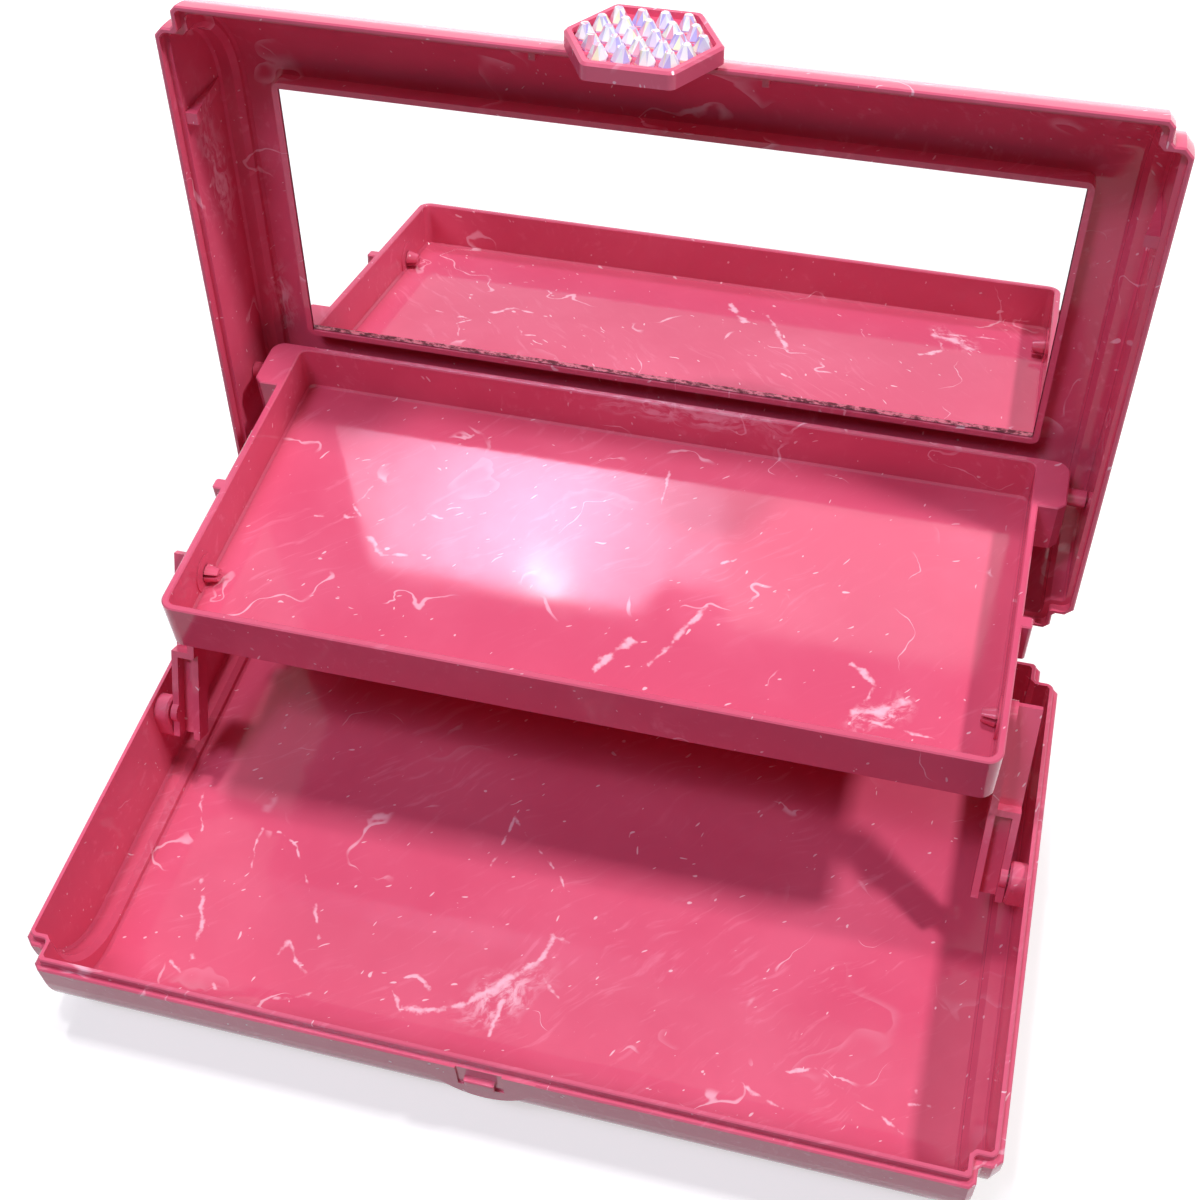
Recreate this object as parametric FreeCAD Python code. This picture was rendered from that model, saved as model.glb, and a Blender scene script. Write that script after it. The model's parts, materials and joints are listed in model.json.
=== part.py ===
import FreeCAD, Part
import math
import os

# Clamshell makeup case with a mirror in its lid and a tray that swings up with the lid.
# Millimetres. Origin: middle of the underside. +X right, +Y back, +Z up.
# Every piece is modelled with the case shut, and is then moved to the open pose that is exported.

# Driving sizes of the two shells
case_width = 240.0
case_depth = 148.0
base_height = 30.0
lid_height = 29.5
wall = 2.5
floor = 2.0
base_round_start = 7.0
lid_round_start = -2.5
wing_length = 5.2
wing_setback = 5.8
wing_rise = 3.6
wing_band = 2.4
body_end_round = 2.6
wing_end_round = 3.5
body_end_bevel = 1.5
wing_end_bevel = 2.1
notch_bevel = 0.8
inner_end_bevel = 0.7
ledge_bevel = 1.4
rim_edge_bevel = 0.4

# Parting line: a tongue on the base enters a rabbet in the lid
seat_gap = 0.2
tongue_height = 2.6
tongue_thickness = 1.1
tongue_clearance = 0.3
tongue_tip_bevel = 0.3

# Lid hinge
hinge_setback = 6.8
hinge_rise = 0.8
open_angle = 97.6
hinge_spacing_share = 0.583
hinge_pin_radius = 1.25
knuckle_radius = 3.2
base_knuckle_length = 9.0
lid_knuckle_length = 11.4
knuckle_gap = 0.3
pin_end_recess = 0.4
bracket_drop = 0.5
lid_bracket_height = 8.0
foot_overhang = 3.0
foot_thickness = 4.0
foot_edge_round = 1.0

# Fits
running_clearance = 0.06
press_interference = 0.01
snap_clearance = 0.15
side_gap = 0.3
cut_overrun = 2.0
match_distance = 0.001

# Mirror and its bed in the lid
mirror_side_space = 19.2
mirror_front_space = 30.0
mirror_rear_space = 45.6
mirror_thickness = 2.0
mirror_clearance = 0.25
frame_width = 1.6
frame_proud = 0.6
frame_ledge = 2.0
frame_corner = 2.2
pad_thickness = 2.7
pad_inset = 20.8
pad_width = 14.0

# Lid details
gusset_front_space = 30.3
gusset_thickness = 3.0
gusset_reach = 3.2
gusset_length = 21.0
front_rib_spacing = 54.0
front_rib_thickness = 1.6
front_rib_reach = 2.2
front_rib_length = 12.0
rib_rim_gap = 0.4

# Tray
tray_side_space = 15.0
tray_front_space = 20.2
tray_top_gap = 0.1
tray_wall = 1.9
tray_floor = 1.7
tray_corner = 4.0
tray_bottom_bevel = 0.8
tray_floor_bevel = 0.6
tray_rim_bevel = 0.35
tray_pin_from_back = 5.4
tray_pin_height = 8.3
tab_reach = 7.0
tab_depth = 17.0
tab_corner = 4.0
tab_chamfer = 2.0
tab_skin = 1.9
tray_pin_radius = 2.3
tray_pin_tip_radius = 1.0
tray_pin_tip_length = 1.8
side_rib_from_front = 41.5
side_rib_thickness = 3.6
side_rib_reach = 2.5
side_rib_drop = 3.0
side_rib_round = 0.9
snap_from_front = 21.3
snap_height = 4.6
snap_ring_radius = 5.4
snap_ring_proud = 0.3

# Linkage: a parallelogram of hinge, lid pin, snap pin and arm pivot
lid_pin_forward = 40.8
lid_pin_rise = 14.4
arm_gap = 0.4
arm_width = 7.8
arm_skin = 1.8
arm_front = 1.2
arm_back = 4.0
arm_foot = 7.3
arm_channel_top = 19.0
arm_head_radius = 5.0
arm_head_front = 3.6
arm_pin_radius = 2.0
arm_pin_end_gap = 0.3
boss_radius = 4.2
boss_drop = 5.4
boss_edge_bevel = 0.6
boss_seat = 0.8
snap_pin_radius = 2.1
snap_barb = 0.4
snap_barb_length = 3.4
snap_neck_play = 0.3
snap_slot = 1.0

# Catch on the front of the base
catch_pad_radius = 14.0
catch_recess_width = 11.4
catch_recess_height = 8.5
catch_recess_depth = 0.5
nub_width = 7.4
nub_height = 3.0
nub_below_parting = 4.0
nub_proud = 1.1
nub_round = 0.5

# Latch on the front of the lid
latch_half_width = 18.4
latch_half_height = 15.4
latch_half_edge = 10.1
latch_corner_round = 2.2
latch_centre_drop = 0.4
latch_face_stand = 5.6
latch_skin = 1.6
latch_face_skin = 1.8
latch_edge_bevel = 0.6
latch_field_border = 1.7
latch_field_depth = 1.6
latch_wall_gap = 1.6
latch_pivot_rise = 10.0
latch_pivot_stand = 0.4
lug_radius = 2.2
lug_thickness = 1.8
lug_inner = 6.5
ear_thickness = 1.6
trunnion_radius = 1.15
hook_gap = 0.4
hook_wall_gap = 0.4
hook_height = 2.8
pocket_radius = 20.0
pocket_depth = 4.8
pocket_height = 17.3
pocket_wall = 1.6

# Stones set in the latch
stone_radius = 2.35
stone_table_share = 0.42
stone_height = 3.3
stone_girdle = 0.5
stone_pitch = 5.3
stone_row_pitch = 4.7
stone_rows = (4, 5, 6, 5, 4)
stone_sides = 8

# Places that follow from the sizes above
half_width = case_width / 2
half_depth = case_depth / 2
body_half = half_width - wing_length
wing_half_depth = half_depth - wing_setback
inner_wall_x = half_width - wall
hinge_spacing = case_width * hinge_spacing_share
foot_reach = half_depth + foot_overhang
lid_rim = base_height + seat_gap
lid_top = lid_rim + lid_height
panel_z = lid_top - floor
hinge_y = half_depth + hinge_setback
hinge_z = base_height + hinge_rise
shoulder = wall - tongue_thickness
lip = shoulder - tongue_clearance
rabbet_depth = tongue_height - seat_gap + tongue_clearance
rib_start_z = lid_rim + rabbet_depth + rib_rim_gap
mirror_width = case_width - 2 * mirror_side_space
mirror_height = case_depth - mirror_front_space - mirror_rear_space
mirror_centre_y = (mirror_front_space - mirror_rear_space) / 2
mirror_back_z = panel_z - pad_thickness
mirror_face_z = mirror_back_z - mirror_thickness
gusset_centre_y = -half_depth + gusset_front_space
lid_pin_y = hinge_y - lid_pin_forward
lid_pin_z = hinge_z + lid_pin_rise
tray_width = case_width - 2 * tray_side_space
tray_front_y = -half_depth + tray_front_space
tray_bottom_z = lid_pin_z - tray_pin_height
tray_pin_from_front = lid_pin_y - tray_front_y
tray_depth = tray_pin_from_front + tray_pin_from_back
tray_height = mirror_face_z - frame_proud - tray_top_gap - tray_bottom_z
tab_outer = tray_width / 2 + tab_reach
coupler_y = tray_pin_from_front - snap_from_front
coupler_z = tray_pin_height - snap_height
arm_pivot_y = hinge_y - coupler_y
arm_pivot_z = hinge_z - coupler_z
arm_length = math.hypot(lid_pin_forward, lid_pin_rise)
closed_lean = math.degrees(math.atan2(lid_pin_forward, lid_pin_rise))
arm_inner_x = tray_width / 2 + arm_gap
arm_outer_x = arm_inner_x + arm_width
boss_face_x = arm_outer_x + side_gap
latch_pivot_y = -half_depth + latch_pivot_stand
latch_pivot_z = lid_rim + latch_pivot_rise
latch_centre_z = base_height - latch_centre_drop
latch_face_y = -half_depth - latch_face_stand
latch_back_y = -half_depth - latch_wall_gap
hook_back_y = -half_depth - hook_wall_gap
nub_top_z = base_height - nub_below_parting
nub_bottom_z = nub_top_z - nub_height
pocket_axis_y = -half_depth - (pocket_radius - pocket_depth)
pocket_top_z = lid_rim + pocket_height

ORIGIN = FreeCAD.Vector(0, 0, 0)
X_AXIS = FreeCAD.Vector(1, 0, 0)
Y_AXIS = FreeCAD.Vector(0, 1, 0)
Z_AXIS = FreeCAD.Vector(0, 0, 1)
HALF_TURN = 180.0


def point(x, y, z):
    return FreeCAD.Vector(x, y, z)


def block(x0, x1, y0, y1, z0, z1):
    return Part.makeBox(x1 - x0, y1 - y0, z1 - z0, point(x0, y0, z0))


def rod(radius, x0, x1, y, z):
    """Cylinder along X."""
    return Part.makeCylinder(radius, x1 - x0, point(x0, y, z), X_AXIS)


def joined(pieces):
    """One clean solid from pieces that touch or overlap."""
    return pieces[0].multiFuse(pieces[1:]).removeSplitter()


def mirrored(shape):
    return shape.mirror(ORIGIN, X_AXIS)


def rounded_wire(corners, radii):
    """Closed wire through the corners, each with its own round (zero leaves it sharp)."""
    starts, ends, arcs = [], [], []
    count = len(corners)
    for i, corner in enumerate(corners):
        to_last = (corners[i - 1] - corner).normalize()
        to_next = (corners[(i + 1) % count] - corner).normalize()
        half = to_last.getAngle(to_next) / 2
        reach = radii[i] / math.tan(half)
        start = corner + to_last * reach
        end = corner + to_next * reach
        starts.append(start)
        ends.append(end)
        if radii[i] > 0:
            toward = (to_last + to_next).normalize()
            crown = corner + toward * (radii[i] / math.sin(half) - radii[i])
            arcs.append(Part.Arc(start, crown, end).toShape())
        else:
            arcs.append(None)
    edges = []
    for i in range(count):
        if arcs[i]:
            edges.append(arcs[i])
        following = starts[(i + 1) % count]
        if ends[i].distanceToPoint(following) > match_distance:
            edges.append(Part.makeLine(ends[i], following))
    return Part.Wire(edges)


def prism(corners, radii, along):
    return Part.Face(rounded_wire(corners, radii)).extrude(along)


def side_prism(outline, radii, x0, x1):
    """Prism along X from an outline of (y, z) corners."""
    corners = [point(x0, y, z) for y, z in outline]
    return prism(corners, radii, X_AXIS * (x1 - x0))


def profile_bar(half_length, profile_half_depth, bottom, top, corner):
    """Bar along X with a flat top and big rounds below. Returns it with the edges round its two ends."""
    outline = [
        (-profile_half_depth, top),
        (-profile_half_depth, bottom),
        (profile_half_depth, bottom),
        (profile_half_depth, top),
    ]
    bar = side_prism(outline, [0, corner, corner, 0], -half_length, half_length)
    ends = []
    for edge in bar.Edges:
        reach = edge.BoundBox
        at_end = reach.XLength < match_distance and abs(abs(reach.XMin) - half_length) < match_distance
        if at_end and reach.ZMin < top - match_distance:
            ends.append(edge)
    return bar, ends


def body_bar(inset, skin, height, round_start, top):
    """Deep middle of a shell. Its rounds start at a depth below the rim, or above the rim if negative."""
    corner = height - round_start - inset
    over = max(skin + corner - height, 0)
    flare = corner - math.sqrt(corner ** 2 - over ** 2)
    return profile_bar(body_half - inset, half_depth - inset + flare, skin, top, corner)


def wing_bar(inset, skin, height, top):
    corner = height - wing_rise - wing_band - inset
    return profile_bar(half_width - inset, wing_half_depth - inset, wing_rise + skin, top, corner)


def step_edges(form, wing, inset):
    """Edges where the wings meet the ends of the body."""
    steps = []
    for edge in form.Edges:
        reach = edge.BoundBox
        on_step = reach.XLength < match_distance
        on_step = on_step and abs(abs(reach.XMin) - (body_half - inset)) < match_distance
        middle = edge.valueAt((edge.FirstParameter + edge.LastParameter) / 2)
        if on_step and wing.Shells[0].distToShape(Part.Vertex(middle))[0] < match_distance:
            steps.append(edge)
    return steps


def outer_form(height, round_start):
    """Outside of a shell as a block: a deep body with a shallower wing at each end."""
    top = height + tongue_height + cut_overrun
    body, body_ends = body_bar(0, 0, height, round_start, top)
    wing, wing_ends = wing_bar(0, 0, height, top)
    body = body.makeChamfer(body_end_bevel, body_ends)
    wing = wing.makeChamfer(wing_end_bevel, wing_ends)
    form = joined([body, wing])
    form = form.makeChamfer(notch_bevel, step_edges(form, wing, 0))
    return form.common(block(-case_width, case_width, -case_depth, case_depth, 0, height))


def inner_form(height, round_start):
    """Inside of a shell as a block, reaching past the rim so that it also opens the tongue."""
    top = height + tongue_height + cut_overrun
    body, body_ends = body_bar(wall, floor, height, round_start, top)
    wing, wing_ends = wing_bar(wall, floor, height, top)
    body = body.makeChamfer(inner_end_bevel, body_ends)
    wing = wing.makeChamfer(inner_end_bevel, wing_ends)
    form = joined([body, wing])
    return form.makeChamfer(ledge_bevel, step_edges(form, wing, wall))


def rim_prism(inset, z0, z1):
    """Prism in the case's plan outline at the parting line, shrunk by inset."""
    bx = body_half - inset
    by = half_depth - inset
    wx = half_width - inset
    wy = wing_half_depth - inset
    corners = [(wx, -wy), (wx, wy), (bx, wy), (bx, by), (-bx, by), (-bx, wy),
               (-wx, wy), (-wx, -wy), (-bx, -wy), (-bx, -by), (bx, -by), (bx, -wy)]
    body = max(body_end_round - inset, inner_end_bevel)
    wing = max(wing_end_round - inset, inner_end_bevel)
    step = notch_bevel + (ledge_bevel - notch_bevel) * inset / wall
    radii = [wing, wing, step, body, body, step, wing, wing, step, body, body, step]
    return prism([point(x, y, z0) for x, y in corners], radii, Z_AXIS * (z1 - z0))


def edges_at_height(shape, height):
    """Edges that lie flat at one height."""
    found = []
    for edge in shape.Edges:
        reach = edge.BoundBox
        if reach.ZLength < match_distance and abs(reach.ZMin - height) < match_distance:
            found.append(edge)
    return found


def knuckle_spans(side):
    """X spans of one hinge's base knuckles and of the lid knuckle between them."""
    middle = side * hinge_spacing / 2
    lid_half = lid_knuckle_length / 2
    base_start = lid_half + knuckle_gap
    base_end = base_start + base_knuckle_length
    base = [(middle - base_end, middle - base_start), (middle + base_start, middle + base_end)]
    return base, (middle - lid_half, middle + lid_half)


def base_shell():
    """Lower shell with tongue, arm bosses, front catch, hinge knuckles and rear standing feet."""
    inner = inner_form(base_height, base_round_start)
    body = outer_form(base_height, base_round_start)
    body = body.makeChamfer(rim_edge_bevel, edges_at_height(body, base_height))
    tongue = rim_prism(shoulder, base_height - tongue_height, base_height + tongue_height)
    tongue = tongue.makeChamfer(tongue_tip_bevel, edges_at_height(tongue, base_height + tongue_height))
    pieces = [body, tongue, catch_pad()]
    for side in (-1, 1):
        base_spans, lid_span = knuckle_spans(side)
        for span in base_spans:
            pieces.append(base_bracket(span))
    shell = joined(pieces).cut(inner)
    recess_half = catch_recess_width / 2
    shell = shell.cut(block(-recess_half, recess_half, -half_depth - cut_overrun,
                            -half_depth + catch_recess_depth,
                            base_height - catch_recess_height, base_height + cut_overrun)
                      .cut(rim_prism(shoulder, 0, base_height + tongue_height + cut_overrun)))
    features = [shell, catch_nub()]
    for side in (-1, 1):
        features.append(arm_boss(side))
    shell = joined(features)
    hole = arm_pin_radius + running_clearance
    blind_end = inner_wall_x + boss_seat
    for side in (-1, 1):
        bore = rod(hole, boss_face_x - cut_overrun, blind_end, arm_pivot_y, arm_pivot_z)
        shell = shell.cut(bore if side > 0 else mirrored(bore))
    pin_bore = rod(hinge_pin_radius - press_interference, -half_width, half_width, hinge_y, hinge_z)
    return shell.cut(pin_bore)


def base_bracket(span):
    """One knuckle of the base, carried by a web that runs down the back as a standing foot."""
    top = base_height - bracket_drop
    wall_y = half_depth - wall
    web = side_prism([(wall_y, top), (hinge_y, top), (hinge_y, hinge_z - knuckle_radius),
                      (wall_y, base_height - lid_bracket_height)],
                     [0, 0, 0, 0], span[0], span[1])
    middle = (span[0] + span[1]) / 2
    foot = side_prism([(wall_y, top), (hinge_y, top), (foot_reach, 0), (half_depth - base_height, 0)],
                      [0, 0, foot_edge_round, 0], middle - foot_thickness / 2, middle + foot_thickness / 2)
    return joined([web, foot, rod(knuckle_radius, span[0], span[1], hinge_y, hinge_z)])


def catch_pad():
    """Upright half-round pad that the latch closes onto, on the curved front of the base."""
    disc = Part.makeCylinder(catch_pad_radius, catch_pad_radius, point(0, -half_depth, base_height), Y_AXIS)
    return disc.common(block(-half_width, half_width, -half_depth, 0, 0, base_height))


def catch_nub():
    nub = block(-nub_width / 2, nub_width / 2, -half_depth - nub_proud, -half_depth + wall / 2,
                nub_bottom_z, nub_top_z)
    front = [edge for edge in nub.Edges if edge.BoundBox.YMax < -half_depth - nub_proud + match_distance]
    return nub.makeFillet(nub_round, front)


def arm_boss(side):
    """Rounded boss on the side wall that carries an arm's pivot pin."""
    low = arm_pivot_z - boss_drop - boss_radius
    high = arm_pivot_z + boss_radius
    outline = [(arm_pivot_y - boss_radius, low), (arm_pivot_y + boss_radius, low),
               (arm_pivot_y + boss_radius, high), (arm_pivot_y - boss_radius, high)]
    boss = side_prism(outline, [boss_radius] * len(outline), boss_face_x, inner_wall_x + boss_seat)
    face = [edge for edge in boss.Edges if edge.BoundBox.XMax < boss_face_x + match_distance]
    boss = boss.makeChamfer(boss_edge_bevel, face)
    return boss if side > 0 else mirrored(boss)


def turned_over(form):
    """A shell form with its opening down and its floor at the lid's top."""
    form.rotate(ORIGIN, X_AXIS, HALF_TURN)
    form.translate(Z_AXIS * lid_top)
    return form


def lid_shell():
    """Upper shell with rabbet, mirror frame, gussets, latch pocket, pin holes and hinge knuckles."""
    outer = turned_over(outer_form(lid_height, lid_round_start))
    inner = turned_over(inner_form(lid_height, lid_round_start))
    body = outer.makeChamfer(rim_edge_bevel, edges_at_height(outer, lid_rim))
    pocket_skin = Part.makeCylinder(pocket_radius + pocket_wall, pocket_height + pocket_wall,
                                    point(0, pocket_axis_y, lid_rim), Z_AXIS)
    pieces = [body]
    for side in (-1, 1):
        base_spans, lid_span = knuckle_spans(side)
        pieces.append(lid_bracket(lid_span))
    shell = joined(pieces).cut(inner)
    ribs = [rib.common(outer) for rib in lid_ribs()]
    shell = joined([shell, pocket_skin.common(outer), mirror_frame()] + ribs)
    pocket = Part.makeCylinder(pocket_radius, pocket_height + cut_overrun,
                               point(0, pocket_axis_y, lid_rim - cut_overrun), Z_AXIS)
    shell = shell.cut(pocket)
    shell = shell.cut(rim_prism(lip, lid_rim - cut_overrun, lid_rim + rabbet_depth))
    shell = joined([shell] + latch_lugs())
    hole = tray_pin_tip_radius + running_clearance
    for side in (-1, 1):
        bore = rod(hole, inner_wall_x - cut_overrun, inner_wall_x + tray_pin_tip_length + side_gap,
                   lid_pin_y, lid_pin_z)
        shell = shell.cut(bore if side > 0 else mirrored(bore))
    shell = shell.cut(rod(hinge_pin_radius + running_clearance, -half_width, half_width, hinge_y, hinge_z))
    return shell.cut(rod(trunnion_radius + running_clearance, -pocket_radius, pocket_radius,
                         latch_pivot_y, latch_pivot_z))


def lid_bracket(span):
    """The lid's knuckle of one hinge, on a gusset from the back wall."""
    low = lid_rim + bracket_drop
    wall_y = half_depth - wall
    web = side_prism([(wall_y, low), (hinge_y, low), (hinge_y, hinge_z + knuckle_radius),
                      (wall_y, low + lid_bracket_height)], [0, 0, 0, 0], span[0], span[1])
    return joined([web, rod(knuckle_radius, span[0], span[1], hinge_y, hinge_z)])


def mirror_frame():
    """Raised border round the mirror, with a ledge that the glass rests on."""
    seat_x = mirror_width / 2 + mirror_clearance
    seat_y = mirror_height / 2 + mirror_clearance
    low = mirror_face_z - frame_proud
    high = panel_z + floor / 2

    def bed(grow, corner, z0, z1):
        x, y = seat_x + grow, seat_y + grow
        corners = [point(-x, mirror_centre_y - y, z0), point(x, mirror_centre_y - y, z0),
                   point(x, mirror_centre_y + y, z0), point(-x, mirror_centre_y + y, z0)]
        return prism(corners, [corner] * len(corners), Z_AXIS * (z1 - z0))

    ring = bed(frame_width, frame_corner, low, high)
    ring = ring.cut(bed(0, 0, low - cut_overrun, mirror_back_z))
    return ring.cut(bed(-frame_ledge, 0, low, panel_z))


def lid_ribs():
    """Wedge gussets on the side walls and two short ribs inside the front wall."""
    ribs = []
    root_x = inner_wall_x + wall / 2
    for side in (-1, 1):
        wedge = prism([point(root_x, gusset_centre_y - gusset_thickness / 2, rib_start_z),
                       point(inner_wall_x - gusset_reach, gusset_centre_y - gusset_thickness / 2, rib_start_z),
                       point(inner_wall_x, gusset_centre_y - gusset_thickness / 2, rib_start_z + gusset_length),
                       point(root_x, gusset_centre_y - gusset_thickness / 2, rib_start_z + gusset_length)],
                      [0, 0, 0, 0], Y_AXIS * gusset_thickness)
        ribs.append(wedge if side > 0 else mirrored(wedge))
        middle = side * front_rib_spacing / 2
        inner_y = -half_depth + wall
        ribs.append(block(middle - front_rib_thickness / 2, middle + front_rib_thickness / 2,
                          inner_y - wall / 2, inner_y + front_rib_reach,
                          rib_start_z, rib_start_z + front_rib_length))
    return ribs


def latch_lugs():
    """Two lugs in the pocket that carry the latch's trunnions."""
    lugs = []
    back_y = pocket_axis_y + pocket_radius + pocket_wall / 2
    for side in (-1, 1):
        start = lug_inner if side > 0 else -lug_inner - lug_thickness
        web = block(start, start + lug_thickness, latch_pivot_y, back_y,
                    latch_pivot_z - lug_radius, latch_pivot_z + lug_radius)
        skin = Part.makeCylinder(pocket_radius + pocket_wall / 2, pocket_height,
                                 point(0, pocket_axis_y, lid_rim), Z_AXIS)
        web = web.common(skin)
        lugs.append(web.fuse(rod(lug_radius, start, start + lug_thickness, latch_pivot_y, latch_pivot_z)))
    return lugs


def tray_block(inset, z0, z1):
    """Rounded plan block of the tray, shrunk by inset, in tray coordinates."""
    x = tray_width / 2 - inset
    near = inset
    far = tray_depth - inset
    corner = tray_corner - inset
    corners = [point(-x, near, z0), point(x, near, z0), point(x, far, z0), point(-x, far, z0)]
    return prism(corners, [corner] * len(corners), Z_AXIS * (z1 - z0))


def tray():
    """Swing-up tray with rear pin tabs, side ribs and holes for the arms' snap pins."""
    outer = tray_block(0, 0, tray_height)
    outer = outer.makeChamfer(tray_bottom_bevel, edges_at_height(outer, 0))
    pieces = [outer]
    for side in (-1, 1):
        for part in (pin_tab(), side_rib()):
            pieces.append(part if side > 0 else mirrored(part))
    solid = joined(pieces)
    room = tray_block(tray_wall, tray_floor, tray_height + cut_overrun)
    room = room.makeChamfer(tray_floor_bevel, edges_at_height(room, tray_floor))
    solid = solid.cut(room)
    rings = [solid]
    for side in (-1, 1):
        inner_x = tray_width / 2 - tray_wall
        ring = rod(snap_ring_radius, inner_x - snap_ring_proud, inner_x + tray_wall / 2,
                   snap_from_front, snap_height)
        ring = ring.common(tray_block(tray_wall / 2, tray_floor / 2, tray_height))
        rings.append(ring if side > 0 else mirrored(ring))
    solid = joined(rings)
    hole = rod(snap_pin_radius + snap_clearance, -tray_width, tray_width, snap_from_front, snap_height)
    solid = solid.cut(hole)
    solid = solid.makeChamfer(tray_rim_bevel, edges_at_height(solid, tray_height))
    solid.translate(point(0, tray_front_y, tray_bottom_z))
    return solid


def pin_tab():
    """Box-like tab at the tray's rear corner, open below, with the stepped pivot pin."""
    root_x = tray_width / 2 - tray_corner
    near = tray_depth - tab_depth
    outline = [point(root_x, near, 0), point(tab_outer - tab_chamfer, near, 0),
               point(tab_outer, near + tab_chamfer, 0), point(tab_outer, tray_depth, 0),
               point(root_x, tray_depth, 0)]
    tab = prism(outline, [0, 0, 0, tab_corner, 0], Z_AXIS * tray_height)
    hollow = block(tray_width / 2, tab_outer - tab_skin, near + tab_skin, tray_depth - tab_skin - tab_chamfer,
                   -cut_overrun, tray_pin_height - tray_pin_radius - tab_skin)
    shoulder_x = inner_wall_x - side_gap
    pin = rod(tray_pin_radius, tab_outer - tab_skin, shoulder_x, tray_pin_from_front, tray_pin_height)
    tip = rod(tray_pin_tip_radius, shoulder_x, inner_wall_x + tray_pin_tip_length,
              tray_pin_from_front, tray_pin_height)
    return joined([tab.cut(hollow), pin, tip])


def side_rib():
    """Short upright rib half-way along the tray's side."""
    outer_x = tray_width / 2 + side_rib_reach
    rib = block(tray_width / 2 - tray_wall / 2, outer_x, side_rib_from_front,
                side_rib_from_front + side_rib_thickness, side_rib_drop, tray_height)
    outer = [edge for edge in rib.Edges
             if edge.BoundBox.XMin > outer_x - match_distance and edge.BoundBox.ZLength > match_distance]
    return rib.makeFillet(side_rib_round, outer)


def arm():
    """Right-hand arm, upright with its pivot at the origin: channel below, flanged plate above."""
    head = arm_length + arm_head_radius
    inner_x = arm_inner_x
    plate_x = inner_x + arm_skin
    head_outline = [(-arm_head_front, arm_channel_top), (arm_back, arm_channel_top), (arm_back, head),
                    (-arm_head_front, head)]
    plate = side_prism(head_outline, [0, 0, arm_back, arm_head_front], inner_x, plate_x)
    back = block(inner_x, arm_outer_x, arm_back - arm_skin, arm_back, -arm_foot, head - arm_back / 2)
    inner_flange = block(inner_x, plate_x, -arm_front, arm_back, -arm_foot, arm_channel_top)
    outer_flange = block(arm_outer_x - arm_skin, arm_outer_x, -arm_front, arm_back,
                         -arm_foot, arm_channel_top)
    shelf = block(inner_x, arm_outer_x, -arm_front, arm_back, arm_channel_top - arm_skin, arm_channel_top)
    boss = rod(arm_pin_radius + arm_skin / 2, arm_outer_x - arm_skin, arm_outer_x, 0, 0)
    pin_end = inner_wall_x + boss_seat - arm_pin_end_gap
    pin = rod(arm_pin_radius, arm_outer_x - arm_skin, pin_end, 0, 0)
    return joined([plate, back, inner_flange, outer_flange, shelf, boss, pin, snap_pin()])


def snap_pin():
    """Split pin with barbed prongs that snaps through the tray's wall."""
    tray_inner_x = tray_width / 2 - tray_wall - snap_ring_proud
    neck_end = tray_inner_x - snap_neck_play
    tip = neck_end - snap_barb_length
    neck = rod(snap_pin_radius, neck_end, arm_inner_x + arm_skin / 2, 0, arm_length)
    barb = Part.makeCone(snap_pin_radius + snap_barb, snap_pin_radius - snap_barb, snap_barb_length,
                         point(neck_end, 0, arm_length), -X_AXIS)
    slot = block(tip - cut_overrun, arm_inner_x - arm_gap, -tray_wall - snap_pin_radius,
                 tray_wall + snap_pin_radius, arm_length - snap_slot / 2, arm_length + snap_slot / 2)
    return neck.fuse(barb).cut(slot)


def hexagon(inset, y0, y1):
    """Hexagonal prism along Y in the latch's outline, shrunk by inset, flat sides above and below."""
    taper = latch_half_width - latch_half_edge
    high = latch_half_height - inset
    wide = latch_half_width - inset * math.hypot(taper, latch_half_height) / latch_half_height
    edge = wide - taper * high / latch_half_height
    outline = [(wide, 0), (edge, high), (-edge, high), (-wide, 0), (-edge, -high), (edge, -high)]
    corners = [point(x, y0, latch_centre_z + z) for x, z in outline]
    return prism(corners, [latch_corner_round] * len(corners), Y_AXIS * (y1 - y0))


def latch():
    """Hexagonal latch cap with a sunk field, ears with trunnions and a hook for the catch."""
    cap = hexagon(0, latch_face_y, latch_back_y)
    front = [edge for edge in cap.Edges if edge.BoundBox.YMax < latch_face_y + match_distance]
    cap = cap.makeChamfer(latch_edge_bevel, front)
    field_floor_y = latch_face_y + latch_field_depth
    inner_face_y = field_floor_y + latch_face_skin
    field = hexagon(latch_field_border, latch_face_y - cut_overrun, field_floor_y)
    room = hexagon(latch_skin, inner_face_y, latch_back_y + cut_overrun)
    pieces = [cap.cut(field).cut(room)]
    for side in (-1, 1):
        ear = latch_ear(inner_face_y)
        pieces.append(ear if side > 0 else mirrored(ear))
    hook_top = nub_bottom_z - hook_gap
    pieces.append(block(-nub_width / 2, nub_width / 2, inner_face_y - latch_face_skin / 2, hook_back_y,
                        hook_top - hook_height, hook_top))
    return joined(pieces)


def latch_ear(inner_face_y):
    """Right-hand ear of the latch with its trunnion."""
    outer_x = lug_inner - side_gap
    inner_x = outer_x - ear_thickness
    web = block(inner_x, outer_x, inner_face_y - latch_face_skin / 2, latch_pivot_y,
                latch_pivot_z - lug_radius, latch_pivot_z + lug_radius)
    end = rod(lug_radius, inner_x, outer_x, latch_pivot_y, latch_pivot_z)
    trunnion = rod(trunnion_radius, outer_x - ear_thickness / 2, lug_inner + lug_thickness,
                   latch_pivot_y, latch_pivot_z)
    return joined([web, end, trunnion])


def latch_stones():
    """Cut stones in staggered rows on the latch's field."""
    seat_y = latch_face_y + latch_field_depth
    stones = []
    middle_row = (len(stone_rows) - 1) / 2
    for row, count in enumerate(stone_rows):
        z = latch_centre_z + (row - middle_row) * stone_row_pitch
        for column in range(count):
            x = (column - (count - 1) / 2) * stone_pitch
            stones.append(stone(x, seat_y, z))
    return Part.Compound(stones)


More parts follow.
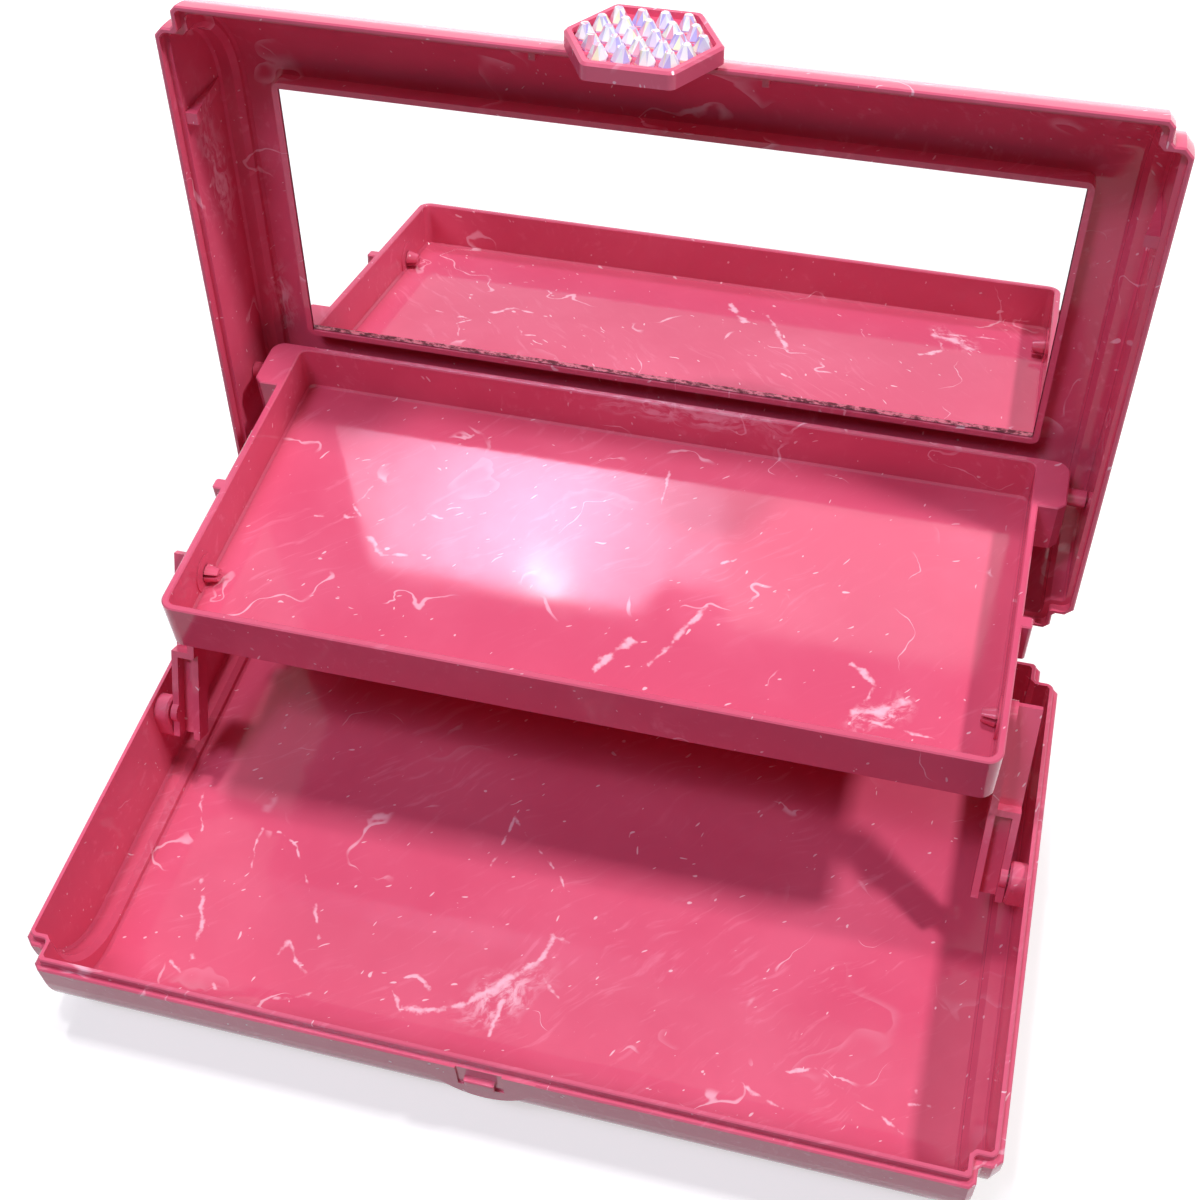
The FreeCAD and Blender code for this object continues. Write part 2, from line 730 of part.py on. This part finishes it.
def stone(x, seat_y, z):
    """One flat-backed stone: a girdle band, crown facets and a flat table."""
    def ring(radius, y):
        corners = []
        for step in range(stone_sides):
            angle = 2 * math.pi * (step + 1 / 2) / stone_sides
            corners.append(point(x + radius * math.cos(angle), y, z + radius * math.sin(angle)))
        return corners

    rings = [ring(stone_radius, seat_y), ring(stone_radius, seat_y - stone_girdle),
             ring(stone_radius * stone_table_share, seat_y - stone_height)]
    outlines = [rings[0], rings[-1]]
    for lower, upper in zip(rings, rings[1:]):
        for i in range(stone_sides):
            outlines.append([lower[i - 1], lower[i], upper[i], upper[i - 1]])
    facets = [Part.Face(Part.makePolygon(outline + outline[:1])) for outline in outlines]
    gem = Part.Solid(Part.Shell(facets))
    return gem if gem.Volume > 0 else gem.reversed()


def mirror():
    return block(-mirror_width / 2, mirror_width / 2, mirror_centre_y - mirror_height / 2,
                 mirror_centre_y + mirror_height / 2, mirror_face_z, mirror_back_z)


def mirror_pads():
    """Foam strips that glue the glass to the lid's panel."""
    strips = []
    half_length = mirror_width / 2 - pad_inset
    for side in (-1, 1):
        y = mirror_centre_y + side * mirror_height / 4
        strips.append(block(-half_length, half_length, y - pad_width / 2, y + pad_width / 2,
                            mirror_back_z, panel_z))
    return Part.Compound(strips)


def hinge_pin(side):
    """Pin pressed into the base's knuckles, on which the lid's knuckle turns."""
    base_spans, lid_span = knuckle_spans(side)
    return rod(hinge_pin_radius, base_spans[0][0] + pin_end_recess, base_spans[1][1] - pin_end_recess,
               hinge_y, hinge_z)


def with_lid(shape):
    """Moves a closed-pose piece of the lid to the open pose."""
    shape.rotate(point(0, hinge_y, hinge_z), X_AXIS, -open_angle)
    return shape


def with_tray(shape):
    """Carries the tray to the open pose: the linkage keeps it level."""
    turn = math.radians(open_angle)
    open_y = hinge_y - lid_pin_forward * math.cos(turn) + lid_pin_rise * math.sin(turn)
    open_z = hinge_z + lid_pin_forward * math.sin(turn) + lid_pin_rise * math.cos(turn)
    shape.translate(point(0, open_y - lid_pin_y, open_z - lid_pin_z))
    return shape


def with_arm(shape):
    """Leans an upright arm to the open pose and seats it on its pivot."""
    shape.rotate(ORIGIN, X_AXIS, closed_lean - open_angle)
    shape.translate(point(0, arm_pivot_y, arm_pivot_z))
    return shape


def main():
    pieces = {
        "base_shell": base_shell(),
        "lid_shell": with_lid(lid_shell()),
        "mirror": with_lid(mirror()),
        "mirror_pads": with_lid(mirror_pads()),
        "tray": with_tray(tray()),
        "right_arm": with_arm(arm()),
        "left_arm": mirrored(with_arm(arm())),
        "latch": with_lid(latch()),
        "latch_stones": with_lid(latch_stones()),
        "left_hinge_pin": hinge_pin(-1),
        "right_hinge_pin": hinge_pin(1),
    }
    os.makedirs("parts", exist_ok=True)
    for name, shape in pieces.items():
        shape.exportStep("parts/" + name + ".step")
        print(name, "valid" if shape.isValid() else "INVALID", len(shape.Solids), round(shape.Volume))


main()
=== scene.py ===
import json
import math

import bpy
from mathutils import Euler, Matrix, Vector

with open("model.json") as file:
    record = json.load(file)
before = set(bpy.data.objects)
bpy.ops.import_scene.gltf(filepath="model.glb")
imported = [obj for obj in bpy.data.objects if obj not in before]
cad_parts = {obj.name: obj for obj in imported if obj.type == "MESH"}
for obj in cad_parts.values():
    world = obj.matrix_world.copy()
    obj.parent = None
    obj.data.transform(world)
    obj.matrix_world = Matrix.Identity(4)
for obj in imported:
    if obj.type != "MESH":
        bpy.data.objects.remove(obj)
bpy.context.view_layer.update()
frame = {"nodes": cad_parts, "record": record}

MM = 0.001
WHITE = (1.0, 1.0, 1.0)

# Camera fitted to the photograph, which is taken to be 1200 by 1200
CAMERA_PLACE = Vector((81.6, -217.9, 396.6)) * MM
CAMERA_TURN = (38.115, 2.211, 14.634)
CAMERA_LENS = 50.1
CAMERA_SENSOR = 36.0
CAMERA_SHIFT_Y = 0.031
CAMERA_CLIP = 0.01

# Lamps over AIM: each leans from the vertical as the shadow edges in the photograph say, in x and y per
# height. Sizes are in metres
AIM = Vector((0.0, 30.0, 40.0)) * MM
LAMP_DISTANCE = 1.5
RIGHT_LEAN = (0.644, 0.05)
RIGHT_SIZE = (0.12, 0.12)
RIGHT_POWER = 12.0
REAR_LEAN = (-0.136, 0.13)
REAR_SIZE = (0.09, 0.09)
REAR_POWER = 6.2
FRONT_LEAN = (-0.20, -0.44)
FRONT_SIZE = (0.09, 0.09)
FRONT_POWER = 1.2
# Ceiling, a bulb and a glow that falls off round its middle, which show in the tray's floor by way of the
# mirror. The glow is a stack of disks: size and power of each
CEILING_LEAN = (-0.15, -0.46)
CEILING_SIZE = (1.00, 0.32)
CEILING_POWER = 2.0
GLOW_LEAN = (-0.297, -0.455)
GLOW_DISKS = ((0.12, 0.13), (0.22, 0.67), (0.34, 1.70), (0.48, 3.00))
GLOW_STEP = 0.01
GLOW_TINT = (0.72, 0.70, 1.0)
BULB_LEAN = (-0.268, -0.414)
BULB_SIZE = 0.05
BULB_POWER = 0.4
# Wide lamp low behind the lid, which lights the case's back
BACK_LEAN = (-0.6, 2.2)
BACK_SIZE = (0.7, 0.5)
BACK_POWER = 15.0
AMBIENT = 0.04

# Floor: what the eye sees and what falls on the case, and a glow that grows with the distance in metres
FLOOR_SIZE = 60.0
FLOOR_DROP = 0.0002
FLOOR_SEEN = (0.60, 0.60, 0.60)
FLOOR_BOUNCE = (0.30, 0.30, 0.30)
FLOOR_GLOW = (0.55, 1.0)
FLOOR_GLOW_REACH = (0.5, 1.6)

# Colours in linear light
PINK = (0.770, 0.128, 0.228)
PINK_DEEP = (0.720, 0.100, 0.192)
PINK_PALE = (0.880, 0.260, 0.380)
WISP = (0.960, 0.560, 0.680)
FLECK = (0.960, 0.660, 0.750)
SILVER = (0.93, 0.94, 0.94)
GLASS_EDGE_DARK = (0.20, 0.19, 0.19)
GLASS_EDGE_PALE = (0.90, 0.92, 0.91)
FOAM_DARK = (0.62, 0.62, 0.60)
FOAM_PALE = (0.80, 0.80, 0.78)
WIRE_DARK = (0.42, 0.43, 0.44)
WIRE_PALE = (0.60, 0.61, 0.62)
# Hues of the stones' coat, each from its place in a cycle of one. Handed out by a facet's facing, they
# paint the cut's sparkle, and the near-white ones are painted glints
STONE_HUES_AND_PAINTED_GLINTS = (
    (0.00, (0.50, 0.44, 0.88)), (0.13, (0.96, 0.96, 0.98)), (0.30, (0.86, 0.40, 0.54)),
    (0.42, (0.76, 0.70, 0.95)), (0.55, (0.80, 0.90, 0.98)), (0.67, (0.80, 0.34, 0.48)),
    (0.76, (0.92, 0.94, 0.66)), (0.83, (0.60, 0.58, 0.80)), (0.92, (0.95, 0.95, 0.96)),
)
# Cycles of hue per unit of a facet's normal, for the painted sparkle of the facets
STONE_TURN_RATE = (7.3, 5.1, 3.7)
STONE_IOR = 1.6
PLASTIC_IOR = 1.49
PLASTIC_SPECULAR = 0.3

# How much each kind of mark covers the pink where it is strongest
LINE_SHARE = 0.7
VEIL_SHARE = 0.7
VEIL_SHARE_BY_STROKES = 0.15
FLECK_SHARE = 0.75
BROAD_SHARE = 0.85

# Marks that the flow of the plastic has drawn out run at this turn from x
FLOW = math.radians(45)
STREAK_STRETCH = (60.0, 520.0, 300.0)
FLECK_STRETCH = (0.30, 1.0, 0.6)
FLECKS_PER_METRE = 460.0
VEIL_LEVEL = 0.58
VEIL_SHIFT = (0.31, 0.17, 0.05)
NOISE_MIDDLE = 0.5

# White strokes in the plastic of the two floors: width, then points along the stroke, in mm
FLOOR_HEIGHTS = {"base_shell": 2.0, "tray": 62.7}
STROKES = {
    "base_shell": (
        (1.3, ((-30, -51), (-21, -49), (-15, -46), (-8, -38), (-3, -33), (1, -30), (2, -22), (7, -23))),
        (1.0, ((1, -30), (8, -38))),
        (0.8, ((-6, -42), (-6, -53))),
        (0.7, ((-27, -57), (-36, -44), (-30, -41), (-25, -44))),
        (0.9, ((-94, -52), (-87, -58), (-82, -56), (-76, -59), (-69, -56), (-60, -55), (-53, -51))),
        (0.9, ((-97, -27), (-91, -40), (-89, -50))),
        (1.1, ((-68, -44), (-66, -40), (-59, -47))),
        (0.6, ((-81, -9), (-74, -12), (-66, -24), (-59, -36))),
        (0.6, ((-107, 2), (-103, -13))),
        (0.6, ((-86, -8), (-84, -20))),
        (0.6, ((-20, -8), (-18, 11), (-4, -2), (3, -8))),
        (0.7, ((69, -44), (75, -42), (84, -45))),
        (0.8, ((56, -50), (64, -53), (72, -55))),
        (0.6, ((85, -47), (99, -53))),
        (0.8, ((100, -42), (104, -44), (99, -45))),
    ),
    "tray": (
        (0.6, ((-84, 56), (-70, 58), (-74, 62), (-72, 70))),
        (0.6, ((-56, 58), (-53, 63), (-46, 62), (-38, 67))),
        (0.8, ((-66, 52), (-61, 46), (-54, 48))),
        (1.3, ((4, 22), (8, 29), (11, 33))),
        (1.0, ((17, 27), (22, 36), (27, 48))),
        (1.9, ((70, 24), (76, 26), (82, 30))),
        (0.8, ((72, 22), (92, 20))),
        (0.8, ((66, 39), (69, 37), (73, 33), (71, 27))),
        (0.6, ((7, 93), (7, 81))),
        (0.6, ((28, 63), (34, 67))),
    ),
}
# Smoky clouds in the plastic: middle and reach along three axes, in mm, and their turn about the vertical
PLUMES = {
    "base_shell": (((-6, -41, 2), (18, 9, 9), FLOW), ((-111, -24, 12), (6, 32, 10), 0.0)),
    "tray": (((76, 25, 63), (12, 6, 6), FLOW), ((12, 103, 74), (38, 6, 7), 0.0)),
    "lid_shell": (((-116, 108, 134), (6, 8, 30), 0.0), ((-112, 116, 84), (6, 8, 16), 0.0)),
}

# Fall of the tray's floor toward the back, in its shading only, as the photograph's reflections say
TRAY_FALL = math.tan(math.radians(2.0))
# Mirror's directions with the lid open, and the height of the ground edge along the bottom of the glass
OPEN_ANGLE = math.radians(97.6)
MIRROR_NORMAL = Vector((0, -math.sin(OPEN_ANGLE), -math.cos(OPEN_ANGLE)))
MIRROR_UP = Vector((0, -math.cos(OPEN_ANGLE), math.sin(OPEN_ANGLE)))
MIRROR_LINE = 1.5 * MM


class Graph:
    """A material's node tree, with short calls for the nodes that are used here."""

    def __init__(self, name):
        self.material = bpy.data.materials.new(name)
        self.material.use_nodes = True
        self.tree = self.material.node_tree
        self.tree.nodes.clear()
        self.shader = self.node("ShaderNodeBsdfPrincipled")
        self.output = self.node("ShaderNodeOutputMaterial")
        self.link(self.shader.outputs[0], self.output.inputs["Surface"])
        coordinates = self.node("ShaderNodeTexCoord")
        self.place = coordinates.outputs["Object"]
        self.normal = coordinates.outputs["Normal"]

    def node(self, kind, **settings):
        made = self.tree.nodes.new(kind)
        for key, value in settings.items():
            setattr(made, key, value)
        return made

    def link(self, source, target):
        self.tree.links.new(source, target)

    def feed(self, target, value):
        """Links an output, or sets a plain value."""
        if isinstance(value, bpy.types.NodeSocket):
            self.link(value, target)
        else:
            target.default_value = value

    def maths(self, operation, a, b=0.0):
        made = self.node("ShaderNodeMath", operation=operation)
        for target, value in zip(made.inputs, (a, b)):
            self.feed(target, value)
        return made.outputs[0]

    def vector(self, operation, a, b=None, scale=None):
        made = self.node("ShaderNodeVectorMath", operation=operation)
        self.feed(made.inputs[0], a)
        if b is not None:
            self.feed(made.inputs[1], b)
        if scale is not None:
            self.feed(made.inputs["Scale"], scale)
        plain_number = operation in ("DOT_PRODUCT", "LENGTH", "DISTANCE")
        return made.outputs["Value" if plain_number else "Vector"]

    def noise(self, place, scale, detail=3.0, roughness=0.5, colour=False):
        made = self.node("ShaderNodeTexNoise")
        self.feed(made.inputs["Vector"], place)
        made.inputs["Scale"].default_value = scale
        made.inputs["Detail"].default_value = detail
        made.inputs["Roughness"].default_value = roughness
        return made.outputs["Color" if colour else "Fac"]

    def span(self, value, low, high, to_low=0.0, to_high=1.0, smooth=True):
        """Maps low..high to to_low..to_high, clamped."""
        made = self.node("ShaderNodeMapRange", clamp=True)
        made.interpolation_type = "SMOOTHSTEP" if smooth else "LINEAR"
        for target, number in zip(made.inputs, (value, low, high, to_low, to_high)):
            self.feed(target, number)
        return made.outputs[0]

    def fade(self, value, low, high):
        """One up to low, zero from high on."""
        return self.span(value, low, high, to_low=1.0, to_high=0.0)

    def mix(self, amount, a, b):
        made = self.node("ShaderNodeMix", data_type="RGBA")
        self.feed(made.inputs["Factor"], amount)
        colours = [socket for socket in made.inputs if socket.type == "RGBA"]
        for target, value in zip(colours, (a, b)):
            self.feed(target, value if isinstance(value, bpy.types.NodeSocket) else (*value, 1.0))
        return [socket for socket in made.outputs if socket.type == "RGBA"][0]

    def warped(self, place, scale, reach):
        """Coordinates pushed about by noise, so that lines drawn in them wander."""
        noise = self.noise(place, scale, detail=2.0, colour=True)
        push = self.vector("SUBTRACT", noise, (NOISE_MIDDLE,) * 3)
        return self.vector("ADD", place, self.vector("SCALE", push, scale=reach))

    def turned(self, place, angle):
        """Coordinates turned about the vertical, so that what is stretched along x runs at that angle."""
        made = self.node("ShaderNodeVectorRotate", rotation_type="Z_AXIS")
        self.link(place, made.inputs["Vector"])
        made.inputs["Angle"].default_value = -angle
        return made.outputs[0]

    def bump(self, height, distance, strength=1.0, under=None):
        made = self.node("ShaderNodeBump")
        made.inputs["Strength"].default_value = strength
        made.inputs["Distance"].default_value = distance
        self.link(height, made.inputs["Height"])
        if under is not None:
            self.link(under, made.inputs["Normal"])
        return made.outputs[0]

    def set(self, **values):
        """Feeds the shader's sockets, named with underscores for spaces."""
        for name, value in values.items():
            self.feed(self.shader.inputs[name.replace("_", " ")], value)


def pink_ground(g):
    """Pink that clouds a little and carries faint pale hair streaks, all drawn out one way by the flow."""
    cloud = g.noise(g.warped(g.place, scale=18.0, reach=0.02), scale=22.0, detail=4.0, roughness=0.55)
    ground = g.mix(g.span(cloud, low=0.35, high=0.70), PINK_DEEP, PINK)
    drawn = g.vector("MULTIPLY", g.turned(g.warped(g.place, scale=30.0, reach=0.02), FLOW), STREAK_STRETCH)
    streaks = g.span(g.noise(drawn, scale=1.0, roughness=0.6), low=0.54, high=0.74)
    patches = g.noise(g.place, scale=20.0, detail=2.0)
    thick = g.span(patches, low=0.40, high=0.62, to_low=0.05, to_high=0.42)
    return g.mix(g.maths("MULTIPLY", streaks, thick), ground, PINK_PALE)


def hair_lines(g):
    """Wandering white lines, in patches."""
    bent = g.warped(g.warped(g.place, scale=40.0, reach=0.02), scale=120.0, reach=0.004)
    level = g.maths("SUBTRACT", g.noise(bent, scale=38.0, detail=1.0), NOISE_MIDDLE)
    width = g.span(g.noise(g.place, scale=110.0), low=0.38, high=0.72, to_low=0.002, to_high=0.016)
    line = g.fade(g.maths("DIVIDE", g.maths("ABSOLUTE", level), width), low=0.3, high=1.0)
    patches = g.span(g.noise(g.place, scale=42.0, detail=2.0), low=0.57, high=0.64)
    return g.maths("MULTIPLY", line, patches)


def veils(g):
    """Sheets with a sharp bright edge that fade out on one side, in patches."""
    bent = g.warped(g.warped(g.place, scale=20.0, reach=0.04), scale=90.0, reach=0.008)
    above = g.maths("SUBTRACT", g.noise(bent, scale=30.0, detail=2.0), VEIL_LEVEL)
    edge = g.span(above, low=0.0, high=0.006)
    tail = g.maths("POWER", g.fade(above, low=0.0, high=0.06), 2.0)
    shifted = g.vector("ADD", g.place, VEIL_SHIFT)
    patches = g.span(g.noise(shifted, scale=30.0, detail=2.0), low=0.57, high=0.64)
    return g.maths("MULTIPLY", g.maths("MULTIPLY", edge, tail), patches)


def flecks(g):
    """Short dashes, each the cut through one long spot of a cell pattern."""
    cells = g.node("ShaderNodeTexVoronoi", feature="F1")
    bent = g.turned(g.warped(g.place, scale=60.0, reach=0.02), FLOW)
    g.link(g.vector("MULTIPLY", bent, FLECK_STRETCH), cells.inputs["Vector"])
    cells.inputs["Scale"].default_value = FLECKS_PER_METRE
    chance = g.vector("DOT_PRODUCT", cells.outputs["Color"], (1.0, 0.0, 0.0))
    size = g.span(chance, low=0.1, high=1.0, to_low=0.02, to_high=0.16)
    return g.fade(g.maths("DIVIDE", cells.outputs["Distance"], size), low=0.6, high=1.0)


def strokes(g, node):
    """The broad white strokes of one floor, each a line of set width through listed points."""
    bent = g.warped(g.warped(g.place, scale=110.0, reach=0.004), scale=420.0, reach=0.0012)
    nearest = None
    for width, points in STROKES[node]:
        ends = [Vector((x, y, FLOOR_HEIGHTS[node])) * MM for x, y in points]
        for near, far in zip(ends, ends[1:]):
            along = far - near
            offset = g.vector("SUBTRACT", bent, near)
            share = g.vector("DOT_PRODUCT", offset, along / along.length_squared)
            foot = g.vector("SCALE", along, scale=g.span(share, low=0.0, high=1.0, smooth=False))
            gap = g.maths("DIVIDE", g.vector("DISTANCE", offset, foot), width * MM)
            nearest = gap if nearest is None else g.maths("MINIMUM", nearest, gap)
    ragged = g.noise(g.place, scale=260.0, roughness=0.6)
    torn = g.maths("ADD", nearest, g.span(ragged, low=0.3, high=0.7, to_low=-0.3, to_high=0.55))
    return g.fade(torn, low=0.1, high=1.0)


def plume(g, middle, reach, turn):
    """Smoky cloud, torn into threads along its length."""
    offset = g.vector("SUBTRACT", g.warped(g.place, scale=90.0, reach=0.012), Vector(middle) * MM)
    shrunk = g.vector("DIVIDE", g.turned(offset, turn), Vector(reach) * MM)
    near = g.fade(g.vector("LENGTH", shrunk), low=0.15, high=1.0)
    threads = g.span(g.noise(shrunk, scale=3.4, detail=5.0, roughness=0.65), low=0.40, high=0.64)
    return g.maths("MULTIPLY", near, threads)


def marbled_plastic(node=None):
    """Coral-pink moulded plastic with white lines, veils and flecks; some nodes have marks of their own."""
    g = Graph("marbled_pink_" + (node or "plastic"))
    veil_share = VEIL_SHARE_BY_STROKES if node in STROKES else VEIL_SHARE
    marks = [
        (hair_lines(g), LINE_SHARE, WISP),
        (veils(g), veil_share, WISP),
        (flecks(g), FLECK_SHARE, FLECK),
    ]
    marks += [(plume(g, *cloud), BROAD_SHARE, WISP) for cloud in PLUMES.get(node, ())]
    if node in STROKES:
        marks.append((strokes(g, node), BROAD_SHARE, WISP))
    colour = pink_ground(g)
    for mark, share, tint in marks:
        colour = g.mix(g.maths("MULTIPLY", mark, share), colour, tint)
    smears = g.noise(g.place, scale=140.0, detail=4.0, roughness=0.6)
    grain = g.bump(g.noise(g.place, scale=900.0, detail=2.0), distance=0.00002, strength=0.3)
    sway = g.bump(g.noise(g.place, scale=35.0, detail=1.0), distance=0.0004, strength=0.08, under=grain)
    if node == "tray":
        height = g.vector("DOT_PRODUCT", g.place, (0.0, -TRAY_FALL, 0.0))
        sway = g.bump(height, distance=1.0, under=sway)
    g.set(Base_Color=colour, Normal=sway, IOR=PLASTIC_IOR, Specular_IOR_Level=PLASTIC_SPECULAR,
          Roughness=g.span(smears, low=0.3, high=0.7, to_low=0.07, to_high=0.12))
    return g.material


def silvered_glass():
    """Mirror face, with the ground edge of the glass showing as a grey sparkling line along the bottom."""
    g = Graph("silvered_glass")
    heights = [corner.co.dot(MIRROR_UP) for corner in frame["nodes"]["mirror"].data.vertices]
    above = g.maths("SUBTRACT", g.vector("DOT_PRODUCT", g.place, MIRROR_UP), min(heights))
    front = g.span(g.vector("DOT_PRODUCT", g.normal, MIRROR_NORMAL), low=0.90, high=0.97)
    face = g.maths("MULTIPLY", front, g.span(above, low=MIRROR_LINE * 0.8, high=MIRROR_LINE))
    sparkle = g.noise(g.vector("MULTIPLY", g.place, (0.5, 1.0, 1.0)), scale=900.0, roughness=0.7)
    edge = g.mix(g.span(sparkle, low=0.40, high=0.60), GLASS_EDGE_DARK, GLASS_EDGE_PALE)
    g.set(Base_Color=g.mix(face, edge, SILVER), Metallic=1.0,
          Roughness=g.span(face, low=0.0, high=1.0, to_low=0.35, to_high=0.012))
    return g.material


def coated_stones_painted_sparkle():
    """Foil-backed cut stones with an iridescent coat: a facet's hue comes from its facing and its stone,
    which paints the sparkle of the cut; the near-white hues are painted glints.
    """
    g = Graph("stones_painted_sparkle")
    # Painted sparkle and glints: each facet gets a fixed hue from the way it faces and from its stone
    facing = g.vector("DOT_PRODUCT", g.normal, STONE_TURN_RATE)
    chance = g.node("ShaderNodeNewGeometry").outputs["Random Per Island"]
    ramp = g.node("ShaderNodeValToRGB")
    hues = ramp.color_ramp
    hues.interpolation = "CONSTANT"
    while len(hues.elements) < len(STONE_HUES_AND_PAINTED_GLINTS):
        hues.elements.new(0.5)
    for element, (position, tint) in zip(hues.elements, STONE_HUES_AND_PAINTED_GLINTS):
        element.position = position
        element.color = (*tint, 1.0)
    g.link(g.maths("FRACT", g.maths("ADD", facing, chance)), ramp.inputs["Fac"])
    g.set(Base_Color=ramp.outputs["Color"], Metallic=0.15, Roughness=0.06, IOR=STONE_IOR,
          Coat_Weight=1.0, Coat_Roughness=0.03)
    return g.material


def foam():
    """White foam tape, with fine pores."""
    g = Graph("white_foam_tape")
    pores = g.noise(g.place, scale=1400.0, roughness=0.7)
    g.set(Base_Color=g.mix(g.span(pores, low=0.35, high=0.65), FOAM_DARK, FOAM_PALE), Roughness=0.9,
          Normal=g.bump(pores, distance=0.0001, strength=0.6))
    return g.material


def drawn_wire():
    """Bare steel pins, with the faint rings of the drawn wire."""
    g = Graph("drawn_steel_wire")
    rings = g.noise(g.vector("MULTIPLY", g.place, (2.0, 1.0, 1.0)), scale=1500.0, detail=2.0)
    g.set(Base_Color=g.mix(rings, WIRE_DARK, WIRE_PALE), Metallic=1.0,
          Roughness=g.span(rings, low=0.3, high=0.7, to_low=0.25, to_high=0.42))
    return g.material


def seen_share(tree):
    """One for rays from the camera, from mirrors and through glass, and zero for the light that spreads."""
    path = tree.nodes.new("ShaderNodeLightPath")
    seen = path.outputs["Is Camera Ray"]
    for name in ("Is Glossy Ray", "Is Transmission Ray"):
        either = tree.nodes.new("ShaderNodeMath")
        either.operation = "MAXIMUM"
        tree.links.new(seen, either.inputs[0])
        tree.links.new(path.outputs[name], either.inputs[1])
        seen = either.outputs[0]
    return seen


def make_floor():
    """Ground that shows white with part of the shadow, and throws little light back on the case."""
    bpy.ops.mesh.primitive_plane_add(size=FLOOR_SIZE, location=(0, 0, -FLOOR_DROP))
    ground = bpy.context.object
    ground.name = "pale_floor"
    g = Graph("pale_floor")
    seen = seen_share(g.tree)
    lit = g.node("ShaderNodeBsdfDiffuse")
    g.link(g.mix(seen, FLOOR_BOUNCE, FLOOR_SEEN), lit.inputs["Color"])
    glow = g.node("ShaderNodeEmission")
    far = g.span(g.vector("LENGTH", g.place), *FLOOR_GLOW_REACH, *FLOOR_GLOW)
    g.link(g.maths("MULTIPLY", seen, far), glow.inputs["Strength"])
    both = g.node("ShaderNodeAddShader")
    g.link(lit.outputs[0], both.inputs[0])
    g.link(glow.outputs[0], both.inputs[1])
    g.link(both.outputs[0], g.output.inputs["Surface"])
    g.tree.nodes.remove(g.shader)
    ground.data.materials.append(g.material)


def make_world():
    """White where it is seen, and dim even light from all round."""
    world = bpy.data.worlds.new("studio")
    bpy.context.scene.world = world
    world.use_nodes = True
    tree = world.node_tree
    ground = tree.nodes["Background"]
    ground.inputs["Color"].default_value = (*WHITE, 1.0)
    strength = tree.nodes.new("ShaderNodeMath")
    strength.operation = "MAXIMUM"
    strength.inputs[1].default_value = AMBIENT
    tree.links.new(seen_share(tree), strength.inputs[0])
    tree.links.new(strength.outputs[0], ground.inputs["Strength"])


def make_lamp(name, lean, size, power, tint=WHITE, distance=LAMP_DISTANCE, mirrored=True):
    """Lamp that faces AIM, a disk if it has one size and else a rectangle.

    A lamp that isn't mirrored leaves no highlight.
    """
    lamp = bpy.data.lights.new(name, "AREA")
    if isinstance(size, tuple):
        lamp.shape = "RECTANGLE"
        lamp.size, lamp.size_y = size
    else:
        lamp.shape = "DISK"
        lamp.size = size
    lamp.energy = power
    lamp.color = tint
    toward = Vector((*lean, 1.0)).normalized()
    carrier = bpy.data.objects.new(name, lamp)
    carrier.location = AIM + toward * distance
    carrier.rotation_euler = toward.to_track_quat("Z", "Y").to_euler()
    carrier.visible_glossy = mirrored
    bpy.context.scene.collection.objects.link(carrier)


def make_lamps():
    make_lamp("right_lamp", RIGHT_LEAN, RIGHT_SIZE, RIGHT_POWER)
    make_lamp("rear_lamp", REAR_LEAN, REAR_SIZE, REAR_POWER)
    make_lamp("front_lamp", FRONT_LEAN, FRONT_SIZE, FRONT_POWER, mirrored=False)
    make_lamp("ceiling", CEILING_LEAN, CEILING_SIZE, CEILING_POWER)
    for order, (across, power) in enumerate(GLOW_DISKS):
        distance = LAMP_DISTANCE + order * GLOW_STEP
        make_lamp("glow_%d" % order, GLOW_LEAN, across, power, GLOW_TINT, distance)
    make_lamp("bulb", BULB_LEAN, BULB_SIZE, BULB_POWER)
    make_lamp("back_lamp", BACK_LEAN, BACK_SIZE, BACK_POWER, mirrored=False)


def make_camera():
    lens = bpy.data.cameras.new("camera")
    lens.sensor_width = CAMERA_SENSOR
    lens.lens = CAMERA_LENS
    lens.shift_y = CAMERA_SHIFT_Y
    lens.clip_start = CAMERA_CLIP
    carrier = bpy.data.objects.new("camera", lens)
    carrier.location = CAMERA_PLACE
    carrier.rotation_euler = Euler([math.radians(turn) for turn in CAMERA_TURN])
    bpy.context.scene.collection.objects.link(carrier)
    bpy.context.scene.camera = carrier


def dress_nodes():
    """Gives every CAD node the material of its slot, or its own where it has marks of its own."""
    looks = {
        "pink_plastic": marbled_plastic(),
        "mirror": silvered_glass(),
        "crystal": coated_stones_painted_sparkle(),
        "foam": foam(),
        "steel": drawn_wire(),
    }
    own = {node: marbled_plastic(node) for node in PLUMES}
    for piece in frame["record"]["subparts"]:
        look = own.get(piece["node"], looks[piece["material_slot"]])
        for holder in frame["nodes"][piece["node"]].material_slots:
            holder.material = look


dress_nodes()
make_floor()
make_world()
make_lamps()
make_camera()
bpy.context.scene.view_settings.view_transform = "Standard"
